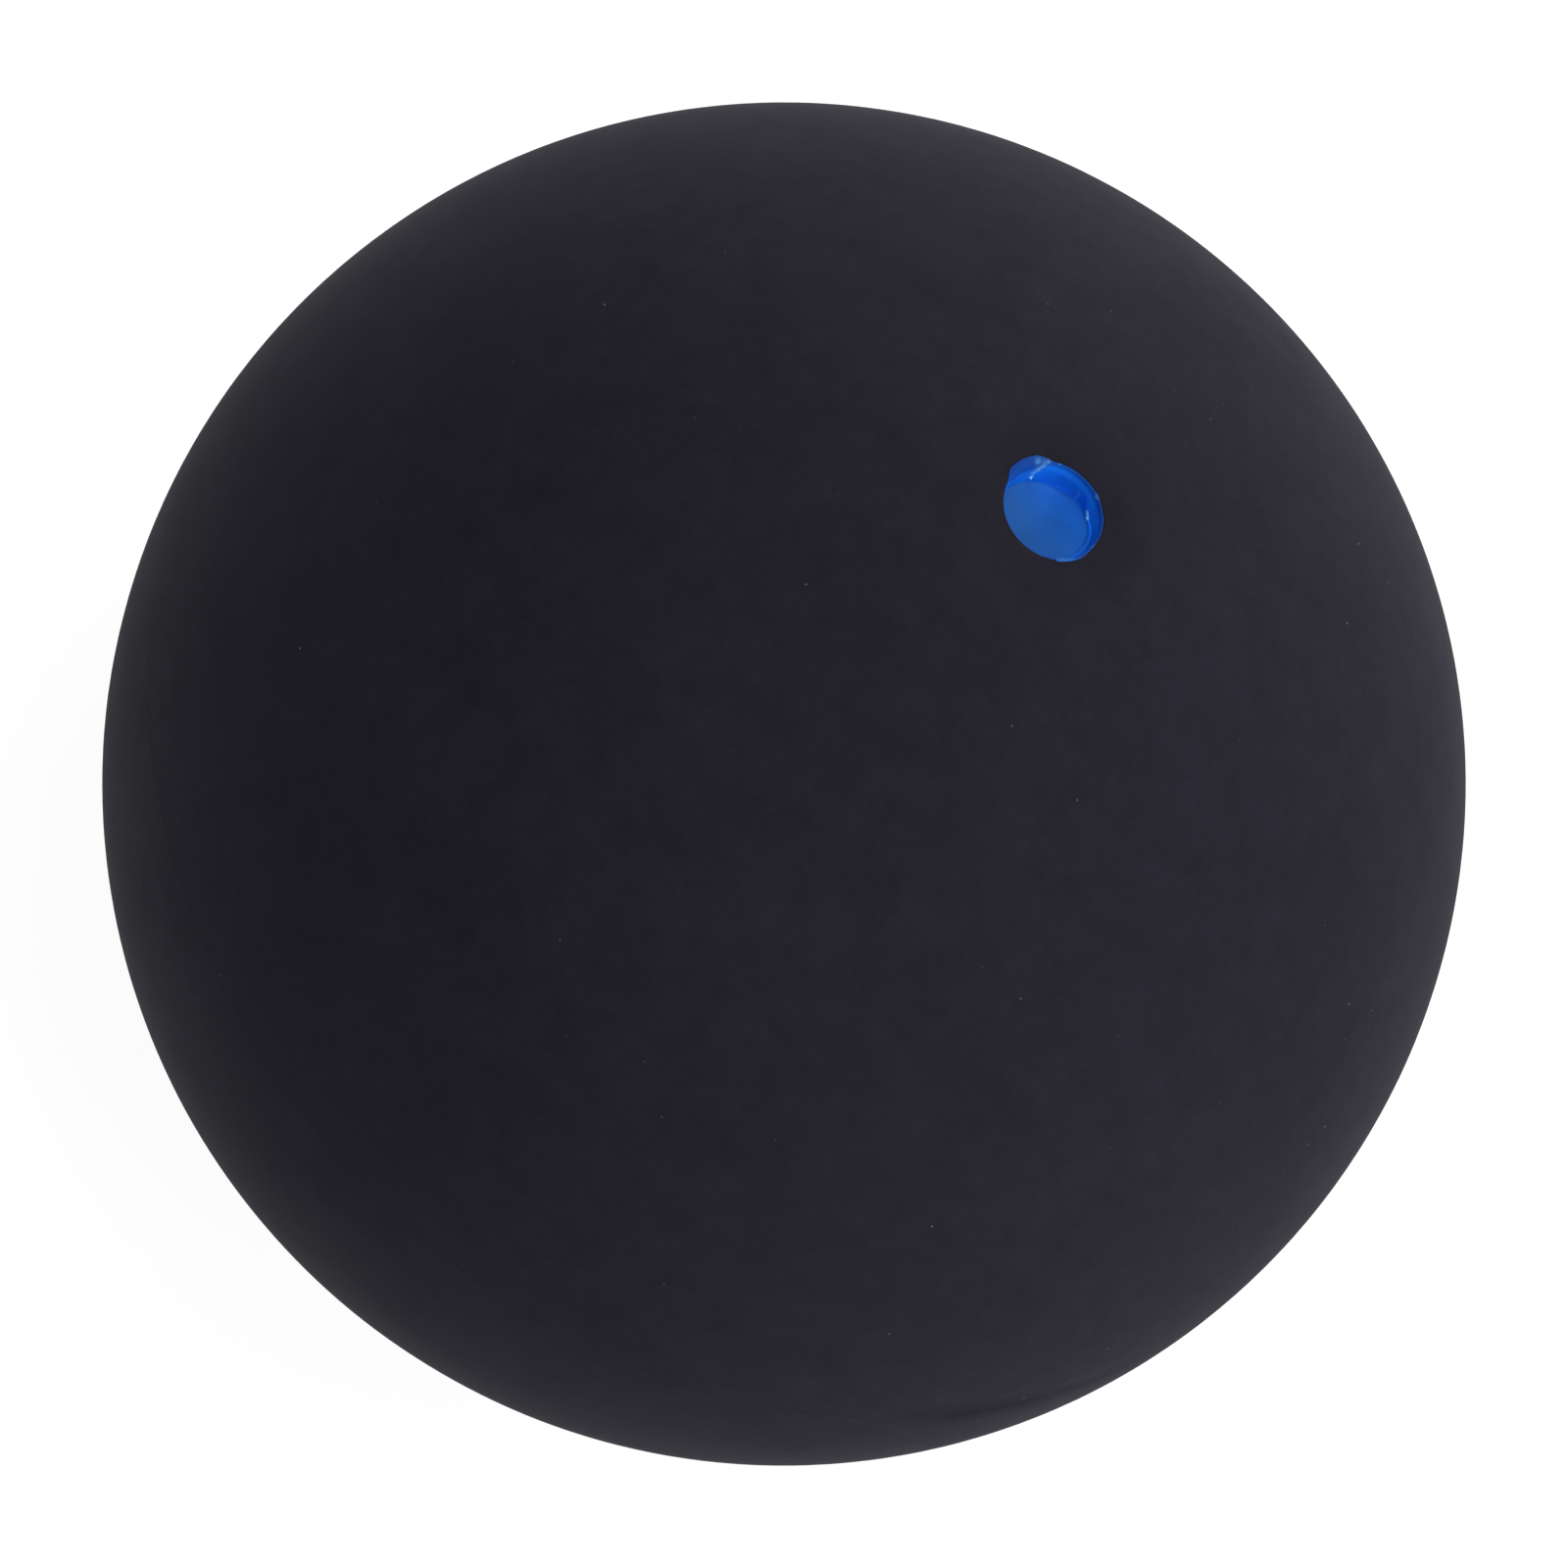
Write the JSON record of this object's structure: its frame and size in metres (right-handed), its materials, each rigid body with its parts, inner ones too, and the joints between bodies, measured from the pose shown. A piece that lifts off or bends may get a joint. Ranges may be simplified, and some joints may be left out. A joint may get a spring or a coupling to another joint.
{
  "type": "squash ball",
  "caption": "Hollow rubber squash ball of moulded half-shells cemented along a seam, with a blue speed dot painted in a small pit.",
  "frame": {"origin": "centre of the ball", "axes": "+Z from the centre through the speed dot, the ball's axis of symmetry; the seam lies in the XY plane"},
  "size_m": [0.04, 0.04, 0.0399],
  "materials": {
    "rubber": "buffed matt",
    "cement": "cured rubber cement, satin",
    "dot_paint": "flexible paint, soft gloss"
  },
  "bodies": {
    "root": {"upper_half_shell": "rubber", "lower_half_shell": "rubber", "seam_bond": "cement", "speed_dot": "dot_paint"}
  },
  "joints": []
}
